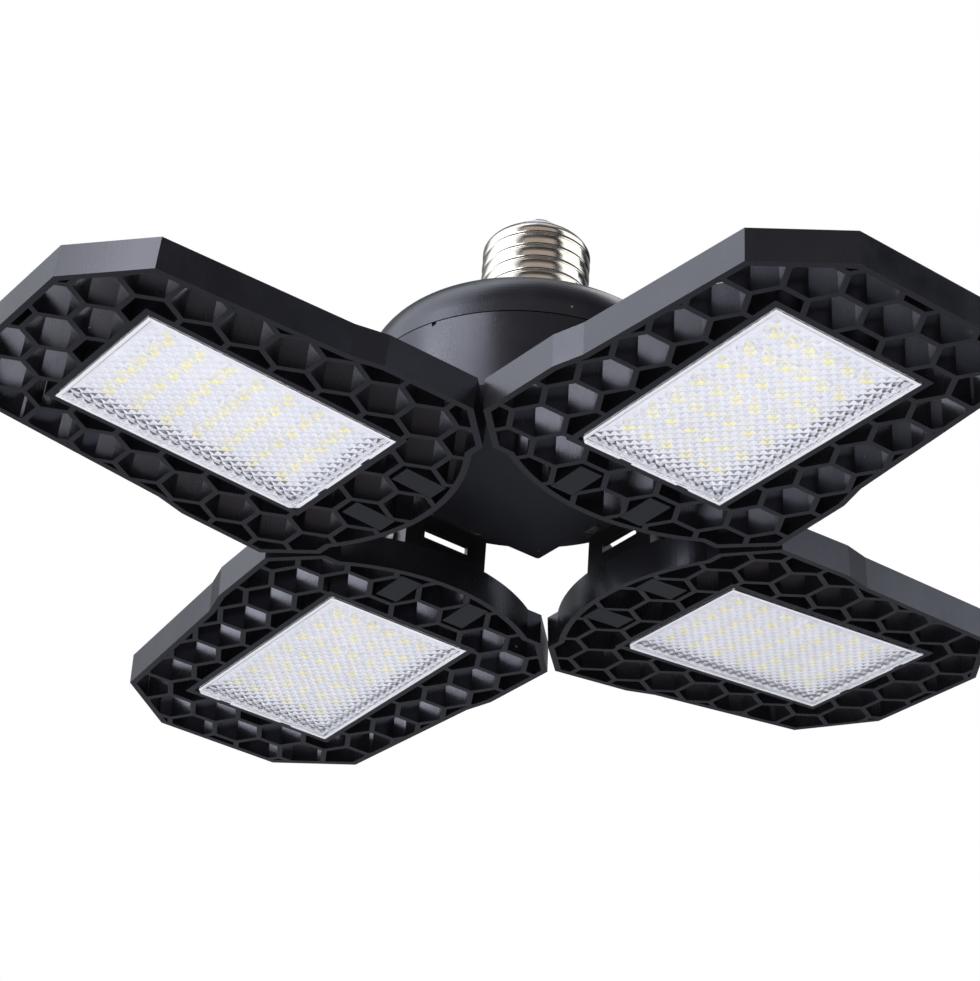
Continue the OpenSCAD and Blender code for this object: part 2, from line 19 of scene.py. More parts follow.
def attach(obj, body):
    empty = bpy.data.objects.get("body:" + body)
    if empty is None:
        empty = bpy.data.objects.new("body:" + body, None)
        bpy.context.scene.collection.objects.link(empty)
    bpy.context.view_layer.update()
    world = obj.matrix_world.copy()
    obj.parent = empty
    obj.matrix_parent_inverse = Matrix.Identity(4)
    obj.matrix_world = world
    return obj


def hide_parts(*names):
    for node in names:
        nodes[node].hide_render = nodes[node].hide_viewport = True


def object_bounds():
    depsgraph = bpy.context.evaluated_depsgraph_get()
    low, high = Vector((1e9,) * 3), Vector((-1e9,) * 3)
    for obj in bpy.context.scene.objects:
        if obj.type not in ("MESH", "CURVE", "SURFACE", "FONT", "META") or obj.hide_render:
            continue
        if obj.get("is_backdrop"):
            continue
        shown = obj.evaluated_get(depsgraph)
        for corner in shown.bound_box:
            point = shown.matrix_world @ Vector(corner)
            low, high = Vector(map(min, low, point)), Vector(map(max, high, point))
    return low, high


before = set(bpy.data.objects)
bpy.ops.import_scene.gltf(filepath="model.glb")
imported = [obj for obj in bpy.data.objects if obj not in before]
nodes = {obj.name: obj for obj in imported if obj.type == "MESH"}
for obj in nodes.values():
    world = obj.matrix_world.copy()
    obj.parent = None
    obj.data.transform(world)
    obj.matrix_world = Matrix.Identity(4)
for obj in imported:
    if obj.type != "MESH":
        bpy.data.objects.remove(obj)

solid_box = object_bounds()
LEAVES = {"a": 180, "b": 270, "c": 90, "d": 0}
TILTS = {"a": 3.3, "b": 1.4, "c": -2.3, "d": 4.9}
MM, PER_METRE = 0.001, 1000.0
print("solids:", len(nodes), "box:", [round(v, 4) for v in solid_box[1] - solid_box[0]])

# %% [markdown]
# ## The camera
#
# The lamp is seen from below and from the side of leaves a and b, through a
# long lens. The three directions are the picture's right and up, solved from
# the outlines of four equal leaves that stand at right angles.

# %% Camera
SHOT_PLACE = Vector((-0.30017, -0.42093, -0.38499))
SHOT_RIGHT = Vector((0.798403, -0.598779, 0.063374))
SHOT_UP = Vector((-0.351558, -0.378121, 0.856406))
FILM_WIDTH, FOCAL_LENGTH = 36, 95.487

shot_data = bpy.data.cameras.new("shot")
shot_data.sensor_fit = "HORIZONTAL"
shot_data.sensor_width = FILM_WIDTH
shot_data.lens = FOCAL_LENGTH
shot_data.clip_start = 0.01
camera = bpy.data.objects.new("shot", shot_data)
axes = Matrix((SHOT_RIGHT, SHOT_UP, SHOT_RIGHT.cross(SHOT_UP))).transposed()
camera.matrix_world = Matrix.Translation(SHOT_PLACE) @ axes.to_4x4()
bpy.context.scene.collection.objects.link(camera)
bpy.context.scene.camera = camera
bpy.context.scene.view_settings.view_transform = "Standard"
print("camera looks along", [round(v, 3) for v in -SHOT_RIGHT.cross(SHOT_UP)])

# %% [markdown]
# ## Wiring shader nodes
#
# Every finish is a small tree of nodes. One helper adds a node, sets its
# options and either links or fills each input, so that a tree reads as a list.


# %% Node helpers
def add(tree, kind, inputs=None, **options):
    """Adds a shader node; each input is a plain value or another node's output."""
    node = tree.nodes.new("ShaderNode" + kind)
    for option, value in options.items():
        setattr(node, option, value)
    for key, value in (inputs or {}).items():
        if isinstance(value, bpy.types.NodeSocket):
            tree.links.new(value, node.inputs[key])
        else:
            node.inputs[key].default_value = value
    return node


def math_node(tree, operation, *values):
    """One arithmetic step on plain values and outputs."""
    return add(tree, "Math", dict(enumerate(values)), operation=operation).outputs[0]


def span(tree, value, low, high, out_low=0.0, out_high=1.0):
    """Maps a value from one span to another, held at both ends."""
    node = add(tree, "MapRange", {"Value": value, "From Min": low, "From Max": high,
                                  "To Min": out_low, "To Max": out_high})
    return node.outputs["Result"]


def blend_colour(tree, share, first, second):
    """A mix of two colours."""
    node = add(tree, "Mix", data_type="RGBA")
    for key, value in ((0, share), (6, first), (7, second)):
        if isinstance(value, bpy.types.NodeSocket):
            tree.links.new(value, node.inputs[key])
        else:
            node.inputs[key].default_value = value if key == 0 else (*value, 1)
    return node.outputs[2]


def group(name, inputs, outputs):
    """An empty node group with float inputs {name: default} and float outputs."""
    tree = bpy.data.node_groups.new(name, "ShaderNodeTree")
    for key, default in inputs.items():
        socket = tree.interface.new_socket(key, in_out="INPUT", socket_type="NodeSocketFloat")
        socket.default_value = default
    for key in outputs:
        tree.interface.new_socket(key, in_out="OUTPUT", socket_type="NodeSocketFloat")
    return tree, tree.nodes.new("NodeGroupInput"), tree.nodes.new("NodeGroupOutput")


def place(tree, shared, **values):
    """Puts a shared group into a material and fills its inputs."""
    node = tree.nodes.new("ShaderNodeGroup")
    node.node_tree = shared
    for key, value in values.items():
        node.inputs[key.replace("_", " ")].default_value = value
    return node


# %% [markdown]
# ## Moulded grain
#
# The black housings come out of moulds with an eroded, satin surface. A fine
# noise gives its height and a slower noise gives the soft cloudiness of the
# tone. Both read object coordinates, which move with each leaf.

# %% Grain group
GRAIN, grain_in, grain_out = group(
    "moulded grain", {"Size": 0.35, "Cloud Size": 14.0}, ["Height", "Cloud"])
place_of = add(GRAIN, "TexCoord").outputs["Object"]
fine = add(GRAIN, "TexNoise", {
    "Vector": place_of, "Scale": math_node(GRAIN, "DIVIDE", PER_METRE, grain_in.outputs["Size"]),
    "Detail": 3.0, "Roughness": 0.6})
cloud = add(GRAIN, "TexNoise", {
    "Vector": place_of,
    "Scale": math_node(GRAIN, "DIVIDE", PER_METRE, grain_in.outputs["Cloud Size"]),
    "Detail": 4.0, "Roughness": 0.55})
GRAIN.links.new(fine.outputs["Fac"], grain_out.inputs["Height"])
GRAIN.links.new(cloud.outputs["Fac"], grain_out.inputs["Cloud"])


def clouds(tree, grain, low=0.0, high=1.0):
    """The slow noise of a placed grain group, stretched to a span."""
    return span(tree, grain.outputs["Cloud"], 0.3, 0.7, low, high)


print("group:", GRAIN.name)

# %% [markdown]
# ## Scuffs
#
# The photographed lamp carries faint rub marks, short hairlines that run up
# and down its walls. They are a noise stretched along the lamp's axis, cut to
# its brightest threads and kept to patches by a slower noise. The uncut noise
# is the drag mark that a mould leaves on its walls, and it varies the gloss.

# %% Scuff group
SCUFFS, scuff_in, scuff_out = group("scuffs", {"Amount": 0.5, "Width": 0.25},
                                    ["Mask", "Streaks"])
stretched = add(SCUFFS, "Mapping", {"Vector": add(SCUFFS, "TexCoord").outputs["Object"],
                                    "Scale": (1.0, 1.0, 0.045)})
threads = add(SCUFFS, "TexNoise", {
    "Vector": stretched.outputs["Vector"],
    "Scale": math_node(SCUFFS, "DIVIDE", PER_METRE, scuff_in.outputs["Width"]),
    "Detail": 2.0, "Roughness": 0.7})
patches = add(SCUFFS, "TexNoise", {"Vector": add(SCUFFS, "TexCoord").outputs["Object"],
                                   "Scale": 70.0, "Detail": 2.0})
mask = math_node(SCUFFS, "MULTIPLY", span(SCUFFS, threads.outputs["Fac"], 0.66, 0.78),
                 span(SCUFFS, patches.outputs["Fac"], 0.5, 0.66))
SCUFFS.links.new(math_node(SCUFFS, "MULTIPLY", mask, scuff_in.outputs["Amount"]),
                 scuff_out.inputs["Mask"])
SCUFFS.links.new(span(SCUFFS, threads.outputs["Fac"], 0.35, 0.65), scuff_out.inputs["Streaks"])
print("group:", SCUFFS.name)

# %% [markdown]
# ## Dust
#
# A few pale specks sit on the dark plastic. Cells of a Voronoi pattern give
# one point each, and only the points whose cell drew a high number show, so
# the specks stay rare and differ in size.

# %% Dust group
DUST, dust_in, dust_out = group("dust", {"Spacing": 5.0, "Amount": 0.5}, ["Mask"])
points = add(DUST, "TexVoronoi", {
    "Vector": add(DUST, "TexCoord").outputs["Object"],
    "Scale": math_node(DUST, "DIVIDE", PER_METRE, dust_in.outputs["Spacing"])})
lot = add(DUST, "SeparateColor", {"Color": points.outputs["Color"]})
speck_size = span(DUST, lot.outputs["Red"], 0.8, 1.0, 0.0, 0.06)
speck = math_node(DUST, "LESS_THAN", points.outputs["Distance"], speck_size)
DUST.links.new(math_node(DUST, "MULTIPLY", speck, dust_in.outputs["Amount"]),
               dust_out.inputs["Mask"])
print("group:", DUST.name)

# %% [markdown]
# ## Worn edges
#
# Handling polishes the edges of ribs and brackets first. The Bevel node gives
# the normal that a rounded edge would have. Where it leaves the real normal,
# there is an edge, and a noise breaks the line up.

# %% Edge group
EDGES, edge_in, edge_out = group("worn edges", {"Radius": 0.4, "Amount": 0.5}, ["Mask"])
rounded = add(EDGES, "Bevel", {"Radius": math_node(
    EDGES, "DIVIDE", edge_in.outputs["Radius"], PER_METRE)}, samples=4)
facing = add(EDGES, "VectorMath", {0: rounded.outputs["Normal"],
                                   1: add(EDGES, "NewGeometry").outputs["Normal"]},
             operation="DOT_PRODUCT")
broken = add(EDGES, "TexNoise", {"Vector": add(EDGES, "TexCoord").outputs["Object"],
                                 "Scale": 300.0, "Detail": 3.0})
edge = math_node(EDGES, "MULTIPLY", span(EDGES, facing.outputs["Value"], 0.97, 0.8),
                 span(EDGES, broken.outputs["Fac"], 0.35, 0.65))
EDGES.links.new(math_node(EDGES, "MULTIPLY", edge, edge_in.outputs["Amount"]),
                edge_out.inputs["Mask"])
print("group:", EDGES.name)

# %% [markdown]
# ## A material and its main shader
#
# Each finish starts from one Principled shader. Numbers that are the same all
# over a surface are set on the shader's own sockets.


# %% Material helper
def finish(name, **plain):
    """A new material with one Principled shader, its plain sockets filled."""
    material = bpy.data.materials.new(name)
    material.use_nodes = True
    tree = material.node_tree
    tree.nodes.clear()
    shader = add(tree, "BsdfPrincipled")
    for key, value in plain.items():
        shader.inputs[key.replace("_", " ")].default_value = value
    add(tree, "OutputMaterial", {"Surface": shader.outputs["BSDF"]})
    return material, tree, shader


def bump(tree, shader, height, strength, depth):
    """Feeds a height into the shader's normal; depth is in millimetres."""
    relief = add(tree, "Bump", {"Height": height, "Strength": strength, "Distance": depth * MM})
    tree.links.new(relief.outputs["Normal"], shader.inputs["Normal"])


# %% [markdown]
# ## Black moulded plastic
#
# Cap, drum, leaves and lugs are the same black plastic with small differences
# in gloss and grain, so one function makes them all. Scuffs and worn edges
# show a little paler and smoother than the satin around them.


# %% Black plastics
DUST_GREY = (0.5, 0.5, 0.5)
COOL_SHEEN = (0.80, 0.82, 1.0, 1.0)


def black_plastic(name, dark, pale, rough, grain_size, relief, scuff, speck_amount, wear):
    """Satin black plastic with grain, clouds, scuffs, dust and worn edges."""
    material, tree, shader = finish(name, Specular_IOR_Level=0.33, Specular_Tint=COOL_SHEEN)
    grain = place(tree, GRAIN, Size=grain_size)
    scuffs = place(tree, SCUFFS, Amount=scuff)
    dust = place(tree, DUST, Amount=speck_amount)
    worn = place(tree, EDGES, Amount=wear)
    tone = blend_colour(tree, clouds(tree, grain), dark, pale)
    rubbed = math_node(tree, "MAXIMUM", scuffs.outputs["Mask"], worn.outputs["Mask"])
    tone = blend_colour(tree, rubbed, tone, [4.0 * c + 0.02 for c in pale])
    tone = blend_colour(tree, dust.outputs["Mask"], tone, DUST_GREY)
    tree.links.new(tone, shader.inputs["Base Color"])
    satin = clouds(tree, grain, rough - 0.05, rough + 0.05)
    drag = span(tree, scuffs.outputs["Streaks"], 0.0, 1.0, -0.01, 0.025)
    satin = math_node(tree, "ADD", satin, drag)
    satin = math_node(tree, "SUBTRACT", satin, math_node(tree, "MULTIPLY", rubbed, 0.12))
    tree.links.new(satin, shader.inputs["Roughness"])
    bump(tree, shader, grain.outputs["Height"], relief, 0.05)
    return material


LEAF_BLACK = black_plastic(
    "leaf_black", dark=(0.0062, 0.0062, 0.0075), pale=(0.009, 0.0088, 0.0105),
    rough=0.25, grain_size=0.3, relief=0.12, scuff=0.35, speck_amount=0.35, wear=0.12)
LUG_BLACK = black_plastic(
    "lug_black", dark=(0.007, 0.007, 0.0082), pale=(0.01, 0.01, 0.0115),
    rough=0.32, grain_size=0.3, relief=0.15, scuff=0.3, speck_amount=0.3, wear=0.15)
CAP_BLACK = black_plastic(
    "cap_black", dark=(0.007, 0.007, 0.0085), pale=(0.010, 0.010, 0.012),
    rough=0.31, grain_size=0.45, relief=0.4, scuff=0.3, speck_amount=0.3, wear=0.1)
DRUM_BLACK = black_plastic(
    "drum_black", dark=(0.007, 0.007, 0.0085), pale=(0.010, 0.010, 0.012),
    rough=0.29, grain_size=0.45, relief=0.4, scuff=0.35, speck_amount=0.2, wear=0.1)
COVER_BLACK = black_plastic(
    "cover_black", dark=(0.004, 0.004, 0.005), pale=(0.006, 0.006, 0.0072),
    rough=0.5, grain_size=0.35, relief=0.3, scuff=0.25, speck_amount=0.2, wear=0.1)
print("black plastics ready")



# %% [markdown]
# ## Painted and plated metal
#
# The brackets are pressed steel under black powder coat, which has a slight
# orange-peel relief and gets bare at its edges. The thread shell is nickel
# plated and the hidden screws are zinc plated: metals whose tone and roughness
# wander, with a fine grain.


# %% Metal finishes
def coated_steel(name, paint, bare, rough, wear):
    """Powder coat or black oxide that wears through at the edges."""
    material, tree, shader = finish(name)
    peel = place(tree, GRAIN, Size=0.8, Cloud_Size=9.0)
    worn = place(tree, EDGES, Radius=0.3, Amount=wear)
    coat = blend_colour(tree, clouds(tree, peel), paint, [1.5 * c for c in paint])
    tree.links.new(blend_colour(tree, worn.outputs["Mask"], coat, bare),
                   shader.inputs["Base Color"])
    tree.links.new(worn.outputs["Mask"], shader.inputs["Metallic"])
    tree.links.new(clouds(tree, peel, rough - 0.06, rough + 0.06), shader.inputs["Roughness"])
    bump(tree, shader, peel.outputs["Height"], 0.3, 0.04)
    return material


def plated_metal(name, bright, dull, rough, line_size, relief):
    """Bare or plated metal with a tone and a roughness that wander."""
    material, tree, shader = finish(name, Metallic=1.0)
    haze = place(tree, GRAIN, Size=line_size, Cloud_Size=6.0)
    tree.links.new(blend_colour(tree, clouds(tree, haze), bright, dull),
                   shader.inputs["Base Color"])
    tree.links.new(clouds(tree, haze, rough, rough * 1.7 + 0.02), shader.inputs["Roughness"])
    bump(tree, shader, haze.outputs["Height"], relief, 0.01)
    return material


BRACKET_BLACK = coated_steel("bracket_black", (0.007, 0.007, 0.008), (0.4, 0.4, 0.4), 0.42, 0.1)
BOLT_BLACK = coated_steel("bolt_black", (0.02, 0.02, 0.022), (0.45, 0.44, 0.42), 0.34, 0.4)
NICKEL = plated_metal("nickel", (0.44, 0.415, 0.365), (0.40, 0.375, 0.33), 0.13, 0.5, 0.1)
SOLDER = plated_metal("solder", (0.70, 0.69, 0.74), (0.56, 0.55, 0.60), 0.3, 0.5, 0.4)
ZINC = plated_metal("zinc", (0.72, 0.72, 0.70), (0.58, 0.58, 0.57), 0.22, 0.3, 0.2)
print("metals ready")


# %% [markdown]
# ## Pale plastics, boards and chips
#
# The insulator, the boards, the rivets and the chip housings are pale and
# nearly even. A cloud in the tone and a light grain keep them from looking
# like painted paper.


# %% Pale finishes
def plain_finish(name, first, second, rough, grain_size=0.3, relief=0.1, **plain):
    """An even finish: two close tones, a wandering roughness and a light grain."""
    material, tree, shader = finish(name, **plain)
    grain = place(tree, GRAIN, Size=grain_size, Cloud_Size=8.0)
    tree.links.new(blend_colour(tree, clouds(tree, grain), first, second),
                   shader.inputs["Base Color"])
    tree.links.new(clouds(tree, grain, rough, rough + 0.08), shader.inputs["Roughness"])
    bump(tree, shader, grain.outputs["Height"], relief, 0.03)
    return material


INSULATOR_WHITE = plain_finish("insulator_white", (0.74, 0.71, 0.86), (0.68, 0.65, 0.80), 0.16)
BOARD_WHITE = plain_finish("board_white", (0.85, 0.845, 0.875), (0.80, 0.80, 0.835), 0.35)
RIVET_WHITE = plain_finish("rivet_white", (0.92, 0.92, 0.94), (0.86, 0.86, 0.89), 0.25)
CHIP_WHITE = plain_finish("chip_white", (0.88, 0.88, 0.90), (0.82, 0.82, 0.85), 0.4)
PHOSPHOR = plain_finish("phosphor", (0.98, 0.90, 0.40), (0.94, 0.84, 0.32), 0.3, 0.15, 0.4)
CHIP_METAL = plated_metal("chip_metal", (0.8, 0.79, 0.75), (0.7, 0.69, 0.64), 0.2, 0.3, 0.1)
BOARD_GREEN = plain_finish("board_green", (0.02, 0.11, 0.045), (0.03, 0.15, 0.06), 0.3)
TAPE_YELLOW = plain_finish("tape_yellow", (0.62, 0.42, 0.06), (0.7, 0.5, 0.1), 0.35)
FERRITE = plain_finish("ferrite", (0.03, 0.03, 0.032), (0.05, 0.05, 0.052), 0.5, 0.5, 0.4)
SLEEVE_BLUE = plain_finish("sleeve_blue", (0.015, 0.02, 0.06), (0.02, 0.03, 0.08), 0.2)
EPOXY_BLACK = plain_finish("epoxy_black", (0.02, 0.02, 0.02), (0.035, 0.035, 0.035), 0.4)
print("pale finishes ready")

# %% [markdown]
# ## The clear lens
#
# The lens is one clear moulding. Its middle is a sheet of small pyramids that
# really refract, so its finish is plain clear plastic with a very light haze.
# Its rim has a frosted mould surface and looks white.

# %% Lens finishes
ACRYLIC_IOR = 1.49
LENS_CLEAR, tree, shader = finish("lens_clear", Transmission_Weight=1.0, IOR=ACRYLIC_IOR)
haze = place(tree, GRAIN, Size=0.6, Cloud_Size=10.0)
tree.links.new(blend_colour(tree, clouds(tree, haze), (0.97, 0.975, 1.0), (0.94, 0.95, 1.0)),
               shader.inputs["Base Color"])
tree.links.new(clouds(tree, haze, 0.07, 0.14), shader.inputs["Roughness"])

LENS_RIM, tree, shader = finish("lens_rim", Transmission_Weight=0.1, IOR=ACRYLIC_IOR)
frost = place(tree, GRAIN, Size=0.4, Cloud_Size=5.0)
tree.links.new(blend_colour(tree, clouds(tree, frost), (0.97, 0.97, 0.99), (0.92, 0.925, 0.95)),
               shader.inputs["Base Color"])
tree.links.new(span(tree, frost.outputs["Height"], 0.3, 0.7, 0.3, 0.45),
               shader.inputs["Roughness"])
bump(tree, shader, frost.outputs["Height"], 0.3, 0.03)
print("lens finishes ready")

# %% [markdown]
# ## Finishes for the solids that stay
#
# A solid whose shape is right keeps its mesh and gets a finish in its material slots. On the hinge
# cover, the brackets and the lugs, sharp edges are rounded by a modifier that first joins coplanar
# triangles and then bevels, so the mesh itself isn't touched.


# %% Dress the solids
FLAT_ANGLE, SOFT_ANGLE, BEVEL_STEPS = math.radians(0.5), math.radians(35), 2


def dress(name, material, edge_width=0.0):
    """Gives a solid its finish and, where a width in millimetres is given, softer edges."""
    solid = nodes[name]
    solid.data.materials.clear()
    solid.data.materials.append(material)
    if edge_width:
        flat = solid.modifiers.new("flat faces", "DECIMATE")
        flat.decimate_type = "DISSOLVE"
        flat.angle_limit = FLAT_ANGLE
        soft = solid.modifiers.new("soft edges", "BEVEL")
        soft.width = edge_width * MM
        soft.segments = BEVEL_STEPS
        soft.limit_method = "ANGLE"
        soft.angle_limit = SOFT_ANGLE
        soft.harden_normals = True
        soft.use_clamp_overlap = False
    return solid


dress("top_cap", CAP_BLACK)
dress("drum_housing", DRUM_BLACK)
dress("hinge_cover", COVER_BLACK, 0.3)
dress("driver_board", BOARD_GREEN)
for leaf in LEAVES:
    dress("hinge_bracket_" + leaf, BRACKET_BLACK, 0.2)
    dress("leaf_frame_" + leaf, LEAF_BLACK)
    dress("hinge_lugs_" + leaf, LUG_BLACK, 0.2)
    dress("light_board_" + leaf, BOARD_WHITE)
print("solids dressed")

# %% [markdown]
# ## Building pieces
#
# New pieces are made in mesh code from points and faces, in millimetres and in
# the leaf's own frame: u outward, v across, w up from the leaf's lower face.
# One matrix per leaf then puts them where the solids are.

# %% Piece helpers
HINGE_U, HINGE_W, HINGE_Z = 36.0, 14.0, -78.5


def leaf_matrix(turn, tilt):
    """The leaf's frame in metres: turned about the lamp and tilted about its bolt."""
    lift = Matrix.Translation((HINGE_U, 0, HINGE_Z))
    back = Matrix.Translation((-HINGE_U, 0, -HINGE_W))
    turned = Matrix.Rotation(math.radians(turn), 4, "Z")
    tilted = Matrix.Rotation(math.radians(-tilt), 4, "Y")
    return Matrix.Scale(MM, 4) @ turned @ lift @ tilted @ back


def show(name, mesh, body):
    """Puts a mesh into the scene as a piece that rides on a body of the lamp."""
    made = bpy.data.objects.new(name, mesh)
    bpy.context.scene.collection.objects.link(made)
    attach(made, body)
    return made


def piece(name, points, faces, body, slot, material, matrix=None, sharp=35):
    """A mesh piece from points in millimetres; sharp is the angle of its hard edges."""
    mesh = bpy.data.meshes.new(name)
    mesh.from_pydata([tuple(p) for p in points], [], faces)
    mesh.transform(matrix or Matrix.Scale(MM, 4))
    mesh.materials.append(material)
    working = bmesh.new()
    working.from_mesh(mesh)
    bmesh.ops.recalc_face_normals(working, faces=working.faces)
    working.to_mesh(mesh)
    working.free()
    mesh.shade_smooth()
    mesh.set_sharp_from_angle(angle=math.radians(sharp))
    return show(name, mesh, body)


def turns(steps):
    """Equal angles once round."""
    return [2 * math.pi * k / steps for k in range(steps)]


def loops_wrapped(count, size):
    """Faces between closed loops of points that stand side by side round an axis."""
    return [(k * size + i, (k + 1) % count * size + i,
             (k + 1) % count * size + (i + 1) % size, k * size + (i + 1) % size)
            for k in range(count) for i in range(size)]


def rings_walled(count, size, closed=False):
    """Faces between rings of points on top of each other, and from last to first if closed."""
    return [(k * size + i, k * size + (i + 1) % size,
             (k + 1) % count * size + (i + 1) % size, (k + 1) % count * size + i)
            for k in range(count if closed else count - 1) for i in range(size)]


def lathe(profile, steps=64):
    """Points and faces of a closed profile of (radius, height) turned about +Z."""
    points = [(r * math.cos(t), r * math.sin(t), z) for t in turns(steps) for r, z in profile]
    return points, loops_wrapped(steps, len(profile))


def joined(parts):
    """Several (points, faces) sets as one."""
    points, faces = [], []
    for more_points, more_faces in parts:
        start = len(points)
        points += [tuple(p) for p in more_points]
        faces += [tuple(start + i for i in f) for f in more_faces]
    return points, faces


def moved(shape, matrix):
    """A (points, faces) set moved by a matrix."""
    return [matrix @ Vector(p) for p in shape[0]], shape[1]


# %% [markdown]
# ## The rolled screw thread
#
# The thread of a lamp base is rolled into thin sheet, so broad crests and
# narrow, soft valleys climb as a helix. A solid of closed rings would miss
# that. Each column of the shell is one closed loop of points, up the outside
# and down the inside, whose radius depends on height and on angle.

# %% Screw shell
THREAD_PITCH, THREAD_DEPTH, CREST_R = 3.63, 0.28, 13.15
SHELL_TOP, SHELL_FOOT, THREAD_TOP = -5.6, -28.4, -9.5
MOUTH_R, SHELL_WALL = 9.2, 0.4
VALLEY_HALF, VALLEY_TURN, SWELL = 0.16, -0.06, 0.06
COLUMNS, ROW_STEP, SHOULDER_STEP = 160, 0.2, 7.5


def ease(x):
    """A soft step from 0 to 1."""
    x = min(1.0, max(0.0, x))
    return x * x * (3 - 2 * x)


def thread_radius(height, angle):
    """Outer radius of the shell: broad crests with a narrow valley that climbs between them."""
    phase = (height - SHELL_FOOT) / THREAD_PITCH - angle / (2 * math.pi) + VALLEY_TURN
    aside = abs((phase + 0.5) % 1.0 - 0.5)
    valley = 1 - ease(aside / VALLEY_HALF)
    swell = SWELL * math.cos(2 * math.pi * phase)
    fade = ease((height - SHELL_FOOT - 0.4) / 2.2) * ease((THREAD_TOP - height) / 1.0)
    return CREST_R - (THREAD_DEPTH * valley + SWELL + swell) * fade


rows = [SHELL_FOOT + ROW_STEP * i for i in range(int((THREAD_TOP - SHELL_FOOT) / ROW_STEP) + 1)]
shoulder = [math.radians(SHOULDER_STEP * i) for i in range(1, round(90 / SHOULDER_STEP) + 1)]
skin = []
for angle in turns(COLUMNS):
    ring = [(thread_radius(z, angle), z) for z in rows]
    ring += [(MOUTH_R + (CREST_R - MOUTH_R) * max(0.0, math.cos(a)) ** 1.5,
              THREAD_TOP + (SHELL_TOP - THREAD_TOP) * math.sin(a) ** 1.3) for a in shoulder]
    inner = [(r - SHELL_WALL, z) for r, z in ring[:len(rows)]]
    inner += [(max(MOUTH_R - 0.25, r - SHELL_WALL * math.cos(a)), z - SHELL_WALL * math.sin(a))
              for (r, z), a in zip(ring[len(rows):], shoulder)]
    loop = ring + inner[::-1]
    skin += [(r * math.cos(angle), r * math.sin(angle), z) for r, z in loop]
shell = piece("threaded_shell", skin, loops_wrapped(COLUMNS, len(skin) // COLUMNS),
              "lamp_body", "nickel", NICKEL, sharp=60)
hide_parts("screw_shell")
print("thread:", len(skin), "points")

# %% [markdown]
# ## Contact and insulator
#
# The centre contact is a low dome of solder, and the insulator is a glossy
# dished disc. Both are turned forms, whose profiles start and end just off the
# axis.

# %% Contact and insulator
AXIS_R = 0.001
DOME_R, DOME_H, CONTACT_FOOT = 4.2, 0.75, -1.6
dome = [(DOME_R * math.sin(math.radians(a)), -DOME_H + DOME_H * math.cos(math.radians(a)))
        for a in range(0, 91, 10)]
contact_profile = [(AXIS_R, 0)] + dome[1:] + [(DOME_R, CONTACT_FOOT), (AXIS_R, CONTACT_FOOT)]
contact = piece("solder_contact", *lathe(contact_profile, 48), "lamp_body", "nickel", SOLDER)
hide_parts("centre_contact")
disc_profile = [(AXIS_R, CONTACT_FOOT), (4.3, CONTACT_FOOT), (4.9, -1.7), (5.6, -2.05),
                (6.7, -2.9), (7.9, -4.0), (8.8, -5.0), (9.1, -5.5), (9.1, -7.2), (AXIS_R, -7.2)]
disc = piece("insulator_disc", *lathe(disc_profile), "lamp_body", "white_insulator",
             INSULATOR_WHITE)
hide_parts("base_insulator")
print("base ready")

# %% [markdown]
# ## The prismatic lens
#
# Light passes a field of small pyramids whose edges run at 45 degrees to the
# leaf. They sit on the outer side, and the inner side is flat. On a grid of
# half a pitch, every second point is a peak, and the other points are
# valleys, which gives four true facets to each pyramid. A skirt goes up to
# the board, one corner is cut as a key, and two notches take the mould's clips.
#
# Along the edges that are far from the camera, the facets look past the board
# at the skirt, which draws a dark pattern. Its width depends on how deep the
# board lies. The solids' board lies a little nearer than the real one, so the
# facets of the leaves near the camera are made steeper than the others'. The
# lower half of the skirt is frosted, which keeps the very edge light.

# %% Lens
LENS_U, LENS_HALF_U, LENS_HALF_V = 78.0, 31.0, 19.8
LENS_LOW, LENS_HIGH, LENS_SHEET, SKIRT_FROST = -0.3, 2.65, 0.55, 1.5
RIM, EDGE, KEY = 1.3, 0.85, 1.8
NOTCH_HALF, NOTCH_DEPTH = 1.6, 0.45
CLEAR, FROSTED = 0, 1
PRISM_H = {"a": 0.21, "b": 0.22, "c": 0.14, "d": 0.08}
CELLS_U, CELLS_V = 44, 28
KEYS = {"a": (-1, -1), "b": (-1, -1), "c": (1, 1), "d": (-1, 1)}
NOTCHES = {"a": (-1, (8.5, -8.5)), "b": (-1, (9.0, -7.0)), "c": (1, (11.0, -7.5)),
           "d": (1, (8.0, -11.0))}


def lens_outline(leaf):
    """The lens outline, counter-clockwise, with its key corner cut and its notches let in."""
    key = KEYS[leaf]
    side, places = NOTCHES[leaf]
    corners = [(-1, -1), (1, -1), (1, 1), (-1, 1)]
    outline = []
    for number, (su, sv) in enumerate(corners):
        u, v = su * LENS_HALF_U, sv * LENS_HALF_V
        if (su, sv) == key:
            cut = [(u - su * KEY, v), (u, v - sv * KEY)]
            outline += cut if su * sv < 0 else cut[::-1]
        else:
            outline.append((u, v))
        following = corners[(number + 1) % 4]
        if su == side and following[0] == side:
            for middle in sorted(places, reverse=sv > 0):
                step = NOTCH_HALF if sv < 0 else -NOTCH_HALF
                outline += [(u, middle - step), (u - NOTCH_DEPTH * side, middle - step),
                            (u - NOTCH_DEPTH * side, middle + step), (u, middle + step)]
    return outline


def ring_of(half_u, half_v, w):
    """Four corners of a rectangle about the lens centre at height w."""
    return [(LENS_U + su * half_u, sv * half_v, w)
            for su, sv in ((-1, -1), (1, -1), (1, 1), (-1, 1))]


